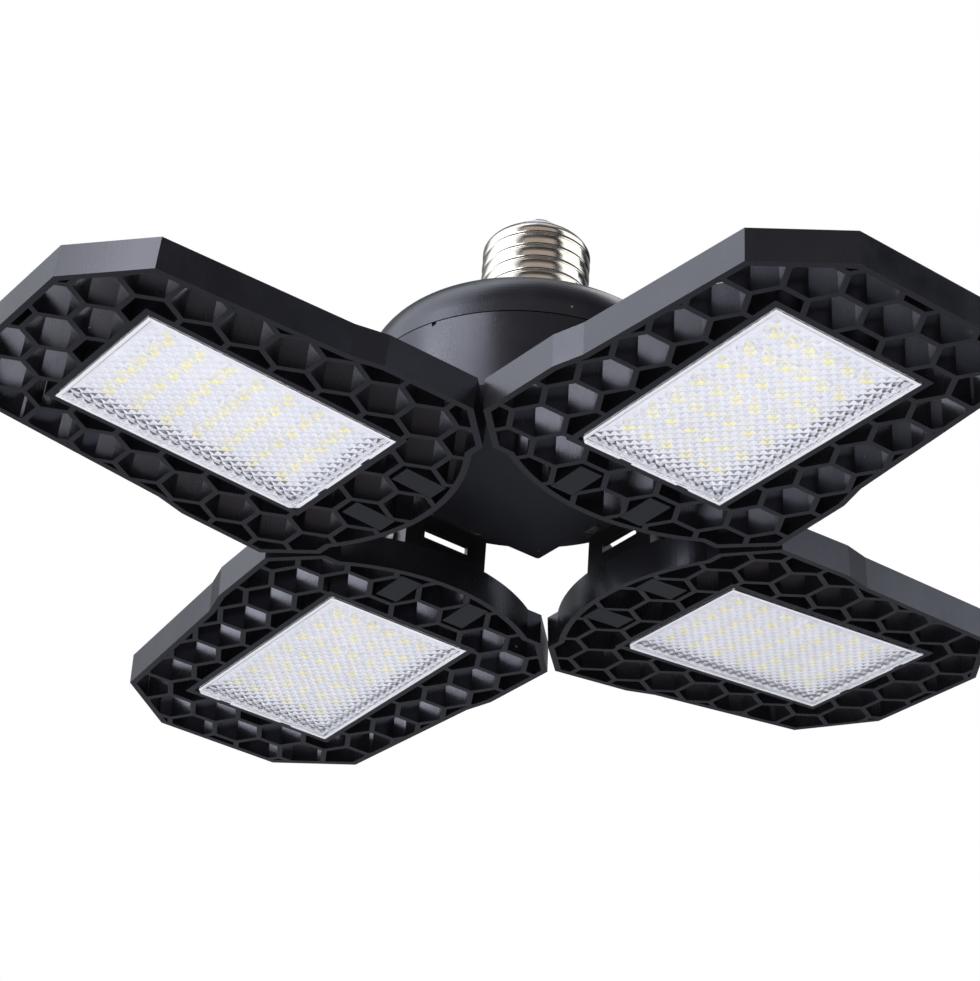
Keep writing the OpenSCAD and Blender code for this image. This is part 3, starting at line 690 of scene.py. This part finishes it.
def lens_piece(leaf):
    """A closed lens: clear outline walls, a field of pyramids below and a pocket above."""
    working = bmesh.new()

    def face(corners, mark):
        """One face with the number of its finish."""
        working.faces.new(corners).material_index = mark

    def wall(low, high, mark):
        """Faces between two rings of equal count."""
        for n in range(len(low)):
            following = (n + 1) % len(low)
            face((low[n], low[following], high[following], high[n]), mark)

    def cover(rings, mark):
        """A flat face between an outer and an inner ring."""
        edges = [working.edges.get((ring[n], ring[(n + 1) % len(ring)]))
                 for ring in rings for n in range(len(ring))]
        for made in bmesh.ops.triangle_fill(working, edges=edges, use_beauty=True)["geom"]:
            if isinstance(made, bmesh.types.BMFace):
                made.material_index = mark

    outline = lens_outline(leaf)
    low = [working.verts.new((LENS_U + u, v, LENS_LOW)) for u, v in outline]
    high = [working.verts.new((LENS_U + u, v, LENS_HIGH)) for u, v in outline]
    wall(low, high, CLEAR)

    field_u, field_v = LENS_HALF_U - EDGE, LENS_HALF_V - EDGE
    grid = []
    for j in range(CELLS_V + 1):
        for i in range(CELLS_U + 1):
            border = i in (0, CELLS_U) or j in (0, CELLS_V)
            peak = border or (i + j) % 2 == 0
            grid.append(working.verts.new((LENS_U - field_u + 2 * field_u * i / CELLS_U,
                                           -field_v + 2 * field_v * j / CELLS_V,
                                           LENS_LOW + (0.0 if peak else PRISM_H[leaf]))))
    width = CELLS_U + 1
    for j in range(CELLS_V):
        for i in range(CELLS_U):
            a, b = grid[j * width + i], grid[j * width + i + 1]
            d, c = grid[(j + 1) * width + i], grid[(j + 1) * width + i + 1]
            halves = [(a, b, d), (b, c, d)] if (i + j) % 2 == 0 else [(a, b, c), (a, c, d)]
            for corners in halves:
                face(corners, CLEAR)
    border = [grid[i] for i in range(width)]
    border += [grid[j * width + CELLS_U] for j in range(1, CELLS_V + 1)]
    border += [grid[CELLS_V * width + i] for i in range(CELLS_U - 1, -1, -1)]
    border += [grid[j * width] for j in range(CELLS_V - 1, 0, -1)]
    cover((low, border), FROSTED)

    pocket = [[working.verts.new(p) for p in ring_of(LENS_HALF_U - RIM, LENS_HALF_V - RIM, w)]
              for w in (LENS_SHEET, SKIRT_FROST, LENS_HIGH)]
    face(pocket[0], CLEAR)
    wall(pocket[0], pocket[1], FROSTED)
    wall(pocket[1], pocket[2], CLEAR)
    cover((high, pocket[2]), CLEAR)
    bmesh.ops.recalc_face_normals(working, faces=working.faces)

    name = "prismatic_lens_" + leaf
    mesh = bpy.data.meshes.new(name)
    working.to_mesh(mesh)
    working.free()
    mesh.transform(leaf_matrix(LEAVES[leaf], TILTS[leaf]))
    mesh.materials.append(LENS_CLEAR)
    mesh.materials.append(LENS_RIM)
    made = show(name, mesh, "leaf_" + leaf)
    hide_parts("leaf_lens_" + leaf)
    made.visible_shadow = False
    return made


for leaf in LEAVES:
    lens = lens_piece(leaf)
    print(lens.name, len(lens.data.polygons), "faces")

# %% [markdown]
# ## Light chips
#
# Forty-two chips stand on each board in seven columns. Each is a white housing
# around a pool of yellow phosphor, on two silver leads. A chip is
# eight-cornered in plan, so a function makes rings of such corners and stacks
# them.

# %% Light chips
CHIP_COLUMNS, CHIP_ROWS, CHIP_U, CHIP_V = 7, 6, 7.5, 5.0
BOARD_LOW = 2.8


def corner_ring(half_u, half_v, cut, w):
    """Eight points: a rectangle with cut corners at height w."""
    u, v = half_u, half_v
    return [(u - cut, -v, w), (u, -v + cut, w), (u, v - cut, w), (u - cut, v, w),
            (cut - u, v, w), (-u, v - cut, w), (-u, cut - v, w), (cut - u, -v, w)]


def stack(rings, close_first=True, close_last=True):
    """Points and faces through rings of the same count."""
    size = len(rings[0])
    points = [p for ring in rings for p in ring]
    faces = rings_walled(len(rings), size)
    if close_first:
        faces.append(tuple(range(size)))
    if close_last:
        faces.append(tuple(range(len(points) - size, len(points))))
    return points, faces


HOUSING = stack([corner_ring(1.4, 1.7, 0.15, 0.0), corner_ring(1.4, 1.7, 0.15, -0.62),
                 corner_ring(1.32, 1.62, 0.15, -0.7), corner_ring(1.12, 1.4, 0.35, -0.7),
                 corner_ring(1.0, 1.25, 0.35, -0.5)], close_last=False)
POOL = stack([corner_ring(1.0, 1.25, 0.35, -0.5), corner_ring(1.1, 1.36, 0.35, -0.62),
              corner_ring(0.6, 0.8, 0.3, -0.67)], close_first=False)
LEAD = stack([corner_ring(1.15, 1.75, 0.05, 0.0), corner_ring(1.15, 1.75, 0.05, -0.12)])

spots = [(LENS_U + (i - (CHIP_COLUMNS - 1) / 2) * CHIP_U, (j - (CHIP_ROWS - 1) / 2) * CHIP_V)
         for i in range(CHIP_COLUMNS) for j in range(CHIP_ROWS)]
for leaf, turn in LEAVES.items():
    at = leaf_matrix(turn, TILTS[leaf])
    for form, label, material, slot in (
            (HOUSING, "chip_housings_", CHIP_WHITE, "phosphor"),
            (POOL, "chip_phosphor_", PHOSPHOR, "phosphor"),
            (LEAD, "chip_leads_", CHIP_METAL, "phosphor")):
        parts = [moved(form, Matrix.Translation((u, v, BOARD_LOW))) for u, v in spots]
        made = piece(label + leaf, *joined(parts), "leaf_" + leaf, slot, material, at)
        if form is POOL:
            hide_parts("light_chips_" + leaf)
print("chips:", len(spots), "on each leaf")

# %% [markdown]
# ## Rivets of the light boards
#
# White push rivets hold each board to its leaf. Their heads are low domes,
# and they show through the lens as bright blobs.

# %% Board rivets
RIVET_U, RIVET_V = 28.0, 16.8
RIVET_HEAD_R, RIVET_SHANK_R, RIVET_TOP = 1.5, 0.8, 2.32
rivet_spots = [(LENS_U + x * RIVET_U, y * RIVET_V)
               for x in (-1, 0, 1) for y in (-1, 0, 1) if x or y]
head = [(RIVET_HEAD_R * math.cos(math.radians(a)), -0.15 - 0.75 * math.sin(math.radians(a)))
        for a in range(0, 91, 15)]
rivet = lathe([(RIVET_SHANK_R, RIVET_TOP), (RIVET_SHANK_R, 0.0), (RIVET_HEAD_R, 0.0)] + head[:-1]
              + [(AXIS_R, -0.9), (AXIS_R, RIVET_TOP)], 24)
for leaf, turn in LEAVES.items():
    parts = [moved(rivet, Matrix.Translation((u, v, BOARD_LOW))) for u, v in rivet_spots]
    made = piece("rivet_heads_" + leaf, *joined(parts), "leaf_" + leaf, "white_rivet",
                 RIVET_WHITE, leaf_matrix(turn, TILTS[leaf]))
    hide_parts("board_rivets_" + leaf)
print("rivets:", len(rivet_spots), "on each leaf")

# %% [markdown]
# ## Hinge bolts and nuts
#
# Each hinge turns on a small bolt with a round head and a cross recess. Its
# tail carries a hexagon nut. The head is a turned form whose recess is cut by
# lowering the points inside a cross, and the nut has its corners chamfered.


# %% Fasteners
def cross_head(head_r, head_h, cross, depth, rings=9, steps=48):
    """A round head on z = 0 with a cross recess in its top."""
    arm = head_r * 0.17
    grid = [[(head_r * math.cos(a), head_r * math.sin(a), 0.0) for a in turns(steps)]]
    for n in range(rings):
        share = 1 - n / rings
        row = []
        for a in turns(steps):
            x, y = head_r * share * math.cos(a), head_r * share * math.sin(a)
            z = head_h * (1 - 0.45 * share ** 2.5)
            if (abs(x) < arm or abs(y) < arm) and max(abs(x), abs(y)) < cross:
                z -= depth
            row.append((x, y, z))
        grid.append(row)
    points = [p for row in grid for p in row]
    centre = len(points)
    points.append((0, 0, head_h - depth))
    faces = rings_walled(len(grid), steps)
    last = (len(grid) - 1) * steps
    faces += [(last + k, last + (k + 1) % steps, centre) for k in range(steps)]
    faces.append(tuple(range(steps))[::-1])
    return points, faces


def threaded_rod(radius, depth, pitch, low, high, steps=24):
    """A rod with a fine helical thread between two heights."""
    count = int((high - low) / pitch * 4)
    rings = []
    for n in range(count + 1):
        z = low + (high - low) * n / count
        fade = min(1.0, 3.0 * (count - n) / count, 3.0 * n / count)
        ring = []
        for a in turns(steps):
            wave = (1 - math.cos(2 * math.pi * (z / pitch) - a)) / 2
            r = radius - depth * wave * fade
            ring.append((r * math.cos(a), r * math.sin(a), z))
        rings.append(ring)
    return stack(rings)


def hex_nut(across, height, hole, steps=48):
    """A hexagon nut on z = 0 with chamfered corners and a plain bore."""
    rings = []
    for z, limit in ((0.0, 0.93), (0.12 * height, 1.0), (0.88 * height, 1.0), (height, 0.93)):
        ring = []
        for a in turns(steps):
            flat = across / math.cos((a + math.pi / 6) % (math.pi / 3) - math.pi / 6)
            r = min(flat, across * 1.1547 * limit)
            ring.append((r * math.cos(a), r * math.sin(a), z))
        rings.append(ring)
    for z in (height, 0.0):
        rings.append([(hole * math.cos(a), hole * math.sin(a), z) for a in turns(steps)])
    return [p for ring in rings for p in ring], rings_walled(len(rings), steps, closed=True)


BOLT_HALF, BOLT_R, THREAD_R, THREAD_L = 11.75, 1.5, 1.46, 3.4
NUT_ACROSS, NUT_H, NUT_HOLE = 2.75, 2.6, 1.53
for leaf, turn in LEAVES.items():
    fixed = leaf_matrix(turn, 0)
    across_leaf = fixed @ Matrix.Translation((HINGE_U, 0, HINGE_W)) @ Matrix.Rotation(
        math.radians(-90), 4, "X")
    bolt_head = cross_head(head_r=2.85, head_h=1.7, cross=1.5, depth=0.7)
    bolt_parts = [moved(bolt_head, Matrix.Translation((0, 0, BOLT_HALF))),
                  lathe([(AXIS_R, BOLT_HALF), (BOLT_R, BOLT_HALF), (BOLT_R, -BOLT_HALF),
                         (AXIS_R, -BOLT_HALF)], 32),
                  threaded_rod(THREAD_R, 0.2, 0.5, -BOLT_HALF - THREAD_L, -BOLT_HALF)]
    bolt = piece("pan_head_bolt_" + leaf, *joined(bolt_parts), "lamp_body", "black_bolt",
                 BOLT_BLACK, across_leaf)
    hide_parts("hinge_bolt_" + leaf)
    nut_form = moved(hex_nut(NUT_ACROSS, NUT_H, NUT_HOLE),
                     Matrix.Translation((0, 0, -BOLT_HALF - NUT_H)))
    nut = piece("hexagon_nut_" + leaf, *nut_form, "lamp_body", "black_bolt", BOLT_BLACK,
                across_leaf)
    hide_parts("hinge_nut_" + leaf)
print("hinge bolts and nuts ready")

# %% [markdown]
# ## Screws of the body
#
# Three sets of small screws hold the square cover, the driver board and the
# brackets' flanges. The first two are zinc plated and the third is black. All
# have the same cross head on a threaded shank, so one function places a set.


# %% Body screws
def screws(name, node, spots, radius, length, head_r, head_h, down=True, slot="zinc_steel",
           material=ZINC):
    """A set of screws whose heads sit at the given spots."""
    one = joined([cross_head(head_r, head_h, head_r * 0.6, head_h * 0.4),
                  threaded_rod(radius, 0.18, 0.7, -length, 0.0)])
    flip = Matrix.Identity(4) if down else Matrix.Rotation(math.pi, 4, "X")
    parts = [moved(one, Matrix.Translation(spot) @ flip) for spot in spots]
    made = piece(name, *joined(parts), "lamp_body", slot, material)
    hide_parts(node)
    return made


UNDERSIDE, FLOOR_T, SHEET = -70.9, 2.4, 1.2
COVER_HALF, COVER_WALL, COVER_POST_R, POST_BITE = 22.3, 2, 2.6, 0.4
cover_at = COVER_HALF - COVER_WALL - COVER_POST_R + POST_BITE
small_screw = {"radius": 1.1, "length": 5.0, "head_r": 2.0, "head_h": 1.3}
screws("cover_screw_set", "cover_screws",
       [(x * cover_at, y * cover_at, UNDERSIDE + FLOOR_T) for x in (-1, 1) for y in (-1, 1)],
       **small_screw)
DRUM_FOOT_R, DRUM_WALL, BOARD_GAP, POST_R, POST_INSET = 36.2, 2.2, 2.6, 2.8, 1.6
POST_H, DRIVER_T = 5.6, 1.6
POST_RING = DRUM_FOOT_R - DRUM_WALL - BOARD_GAP - POST_R - POST_INSET
DECK = UNDERSIDE + FLOOR_T + POST_H + DRIVER_T
screws("driver_screw_set", "driver_screws",
       [(POST_RING * math.cos(a), POST_RING * math.sin(a), DECK)
        for a in (0, math.pi / 2, math.pi, 3 * math.pi / 2)], **small_screw)
FLANGE_NEAR, FLANGE_FAR, FLANGE_V = 22.7, 29.4, 7.0
FLANGE_U = (FLANGE_NEAR + FLANGE_FAR) / 2
flange_spots = []
for turn in LEAVES.values():
    for side in (-1, 1):
        spin = Matrix.Rotation(math.radians(turn), 3, "Z")
        spot = spin @ Vector((FLANGE_U, side * FLANGE_V, 0))
        flange_spots.append((spot.x, spot.y, UNDERSIDE - SHEET))
screws("bracket_screw_set", "bracket_screws", flange_spots, radius=1.2, length=3.2,
       head_r=2.1, head_h=1.4, down=False, slot="black_bolt", material=BOLT_BLACK)
print("screws ready")

# %% [markdown]
# ## Driver parts inside the drum
#
# Nothing of the driver shows from outside. Its parts still get real forms: a
# wound coil in a ferrite core with a window, two capacitors with a crimp and a
# dished top, and a flat rectifier.

# %% Driver parts
def box_shape(low, high, cut=0.4):
    """A box between two corners with its upright edges cut."""
    u, v = (high[0] - low[0]) / 2, (high[1] - low[1]) / 2
    middle = Matrix.Translation(((high[0] + low[0]) / 2, (high[1] + low[1]) / 2, 0))
    rings = [corner_ring(u - inset, v - inset, cut, w) for w, inset in (
        (low[2], cut / 2), (low[2] + cut / 2, 0), (high[2] - cut / 2, 0), (high[2], cut / 2))]
    return moved(stack(rings), middle)


CORE_LOW_X, CORE_HIGH_X, CORE_HALF_Y, CORE_H = -15.5, -0.5, 6.5, 10
WINDOW_LOW_X, WINDOW_HIGH_X, WINDOW_LOW_H, WINDOW_HIGH_H = -13.2, -2.8, 0.9, 8.2
COIL_LOW_X, COIL_HIGH_X, COIL_Y, COIL_LOW_H, COIL_HIGH_H = -13.0, -3.0, -8.5, 1.0, 8.0
TURN_PITCH, TURN_W, TURN_COUNT = 1.7, 1.6, 10
core = joined([box_shape((low_x, -CORE_HALF_Y, DECK + low_h), (high_x, CORE_HALF_Y, DECK + high_h))
               for low_x, high_x, low_h, high_h in (
                   (CORE_LOW_X, WINDOW_LOW_X, 0, CORE_H), (WINDOW_HIGH_X, CORE_HIGH_X, 0, CORE_H),
                   (WINDOW_LOW_X, WINDOW_HIGH_X, WINDOW_HIGH_H, CORE_H),
                   (WINDOW_LOW_X, WINDOW_HIGH_X, 0, WINDOW_LOW_H))])
ferrite = piece("ferrite_core", *core, "lamp_body", "transformer", FERRITE)
coil = joined([box_shape((COIL_LOW_X, COIL_Y + TURN_PITCH * n, DECK + COIL_LOW_H),
                         (COIL_HIGH_X, COIL_Y + TURN_PITCH * n + TURN_W, DECK + COIL_HIGH_H), 0.7)
               for n in range(TURN_COUNT)])
winding = piece("taped_winding", *coil, "lamp_body", "transformer", TAPE_YELLOW)
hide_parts("driver_transformer")
can_profile = [(AXIS_R, 0), (3.6, 0), (3.9, 0.3), (3.9, 0.9), (3.6, 1.3), (3.6, 1.6), (4.0, 2.0),
               (4.0, 8.5), (3.7, 9.0), (2.9, 9.0), (2.8, 8.8), (AXIS_R, 8.8)]
CAN_X, CAN_Y = 11, 7
cans = joined([moved(lathe(can_profile, 40), Matrix.Translation((CAN_X, y, DECK)))
               for y in (-CAN_Y, CAN_Y)])
can = piece("sleeved_cans", *cans, "lamp_body", "capacitor_sleeve", SLEEVE_BLUE)
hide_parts("driver_capacitors")
chip = piece("rectifier_block", *box_shape((-3, 14, DECK), (5, 19, DECK + 3), 0.5), "lamp_body",
             "component_black", EPOXY_BLACK)
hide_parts("driver_rectifier")
print("driver parts ready")

# %% [markdown]
# ## The floor
#
# The lamp hangs over a pale, plain floor that the shot doesn't reach. Views
# from above see it.

# %% Floor
FLOOR_Z, FLOOR_R, FLOOR_CORNERS = -1.35, 4.0, 64
floor_mesh = bpy.data.meshes.new("floor")
floor_mesh.from_pydata([(FLOOR_R * math.cos(a), FLOOR_R * math.sin(a), FLOOR_Z)
                        for a in turns(FLOOR_CORNERS)], [], [tuple(range(FLOOR_CORNERS))])
floor = bpy.data.objects.new("floor", floor_mesh)
bpy.context.scene.collection.objects.link(floor)
FLOOR_PALE, tree, shader = finish("floor_pale")
concrete = place(tree, GRAIN, Size=12.0, Cloud_Size=400.0)
tree.links.new(blend_colour(tree, span(tree, concrete.outputs["Cloud"], 0.2, 0.8),
                            (0.42, 0.42, 0.425), (0.48, 0.48, 0.485)), shader.inputs["Base Color"])
tree.links.new(span(tree, concrete.outputs["Height"], 0.2, 0.8, 0.75, 0.9),
               shader.inputs["Roughness"])
floor_mesh.materials.append(FLOOR_PALE)
floor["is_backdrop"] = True
print("floor ready")

# %% [markdown]
# ## Walls of light
#
# The world is white to the camera and through glass. To reflections it is a
# dim studio with a few soft walls, each a sector of the compass and a span of
# heights. A bright wall on the left shows in the ends of leaves a and c, a
# second one on the right shows in the end of leaf d and in the thread, and a
# warm brown one behind the camera gives the thread its brown bands. Rays that
# reach none of them find almost black, as the photo's side walls do.

# %% World
world = bpy.data.worlds.new("studio")
bpy.context.scene.world = world
world.use_nodes = True
sky = world.node_tree
sky.nodes.clear()
towards = add(sky, "TexCoord").outputs["Generated"]
height = add(sky, "SeparateXYZ", {"Vector": towards}).outputs["Z"]
level = add(sky, "VectorMath", {0: towards, 1: (1.0, 1.0, 0.0)}, operation="MULTIPLY")
level = add(sky, "VectorMath", {0: level.outputs["Vector"]}, operation="NORMALIZE")


def sector(azimuth, none_at, full_at):
    """1 within full_at degrees of an azimuth, and 0 beyond none_at degrees."""
    aim = (math.cos(math.radians(azimuth)), math.sin(math.radians(azimuth)), 0.0)
    along = add(sky, "VectorMath", {0: level.outputs["Vector"], 1: aim}, operation="DOT_PRODUCT")
    return span(sky, along.outputs["Value"], math.cos(math.radians(none_at)),
                math.cos(math.radians(full_at)))


def rise(none_at, full_at):
    """A share that goes from 0 to 1 between two heights of the sky, -1 to 1, or back."""
    return span(sky, height, none_at, full_at)


def times(*shares):
    """The product of several shares."""
    result = shares[0]
    for share in shares[1:]:
        result = math_node(sky, "MULTIPLY", result, share)
    return result


LEFT_LEVEL, RIGHT_LEVEL, TOP_LEVEL, BACK_LEVEL, BROWN_LEVEL = 3.1, 2.5, 0.2, 0.25, 0.85
DARK_LEVEL = 0.03
left = times(sector(151, 48, 24), rise(-0.3, -0.05), LEFT_LEVEL)
right = times(sector(315, 33, 22), rise(-0.1, 0.1), rise(0.55, 0.48), RIGHT_LEVEL)
overhead = times(rise(0.72, 0.9), TOP_LEVEL)
behind = times(sector(62, 60, 35), rise(0.1, 0.3), rise(0.85, 0.65), BACK_LEVEL)
brown = times(sector(238, 40, 28), rise(0.15, 0.38), rise(0.7, 0.56))
quiet = times(brown, BROWN_LEVEL)
for wall in (left, right, overhead, behind):
    quiet = math_node(sky, "MAXIMUM", quiet, wall)
quiet = math_node(sky, "ADD", quiet, DARK_LEVEL)
path = add(sky, "LightPath")
seen = math_node(sky, "MAXIMUM", path.outputs["Is Camera Ray"],
                 path.outputs["Is Transmission Ray"])
strength = add(sky, "Mix", data_type="FLOAT")
sky.links.new(seen, strength.inputs[0])
sky.links.new(quiet, strength.inputs[2])
strength.inputs[3].default_value = 1.0
COOL_LIGHT, BROWN_LIGHT = (0.95, 0.985, 1.07), (1.0, 0.84, 0.77)
shade = blend_colour(sky, brown, COOL_LIGHT, BROWN_LIGHT)
shade = blend_colour(sky, seen, shade, (1.0, 1.0, 1.0))
light = add(sky, "Background", {"Color": shade, "Strength": strength.outputs[0]})
add(sky, "OutputWorld", {"Surface": light.outputs["Background"]})
print("walls of light ready")

# %% [markdown]
# ## Lamps and cards
#
# One softbox stands high on the left, where the cell walls and the drum mirror
# it. A second one lies below the lamp and lights the lenses, and a weak one
# above keeps the views from there from going black. Two small bright cards
# stand close by: one is mirrored by the cut corner of leaf a, and one by the
# right side of the thread, where nothing else sees it.


# %% Softboxes
LAMP_MIDDLE = Vector((0, 0, -0.08))


def softbox(name, direction, distance, width, height, radiance):
    """A rectangular lamp that faces the object's middle, with its surface brightness given."""
    data = bpy.data.lights.new(name, "AREA")
    data.shape = "RECTANGLE"
    data.size, data.size_y = width, height
    data.energy = radiance * math.pi * width * height
    lamp = bpy.data.objects.new(name, data)
    aim = Vector(direction).normalized()
    lamp.location = aim * distance + LAMP_MIDDLE
    lamp.rotation_euler = aim.to_track_quat("Z", "Y").to_euler()
    bpy.context.scene.collection.objects.link(lamp)
    lamp.visible_camera = False
    return lamp


softbox("left_softbox", direction=(-0.9, 0.12, 0.42), distance=1.4,
        width=0.60, height=0.38, radiance=11.4)
softbox("low_softbox", direction=(-0.1, -0.08, -0.99), distance=1.3,
        width=1.2, height=1.2, radiance=5.8)
softbox("top_softbox", direction=(0.1, 0.1, 1.0), distance=1.6,
        width=0.8, height=0.8, radiance=0.8)
softbox("chamfer_card", direction=(-0.234, -0.080, 0.091), distance=0.264,
        width=0.09, height=0.09, radiance=7.8)
softbox("base_card", direction=(0.0211, -0.0324, 0.086), distance=0.0943,
        width=0.030, height=0.030, radiance=2.8)
print("studio ready")

# %% [markdown]
#
# The dressed lamp must stay as large as its solids. The last line prints how much the shown pieces
# have grown beyond the solids' box.

# %% Finish
shown_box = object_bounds()
shown_size, solid_size = (box[1] - box[0] for box in (shown_box, solid_box))
print("grown by", [round(v, 5) for v in shown_size - solid_size])
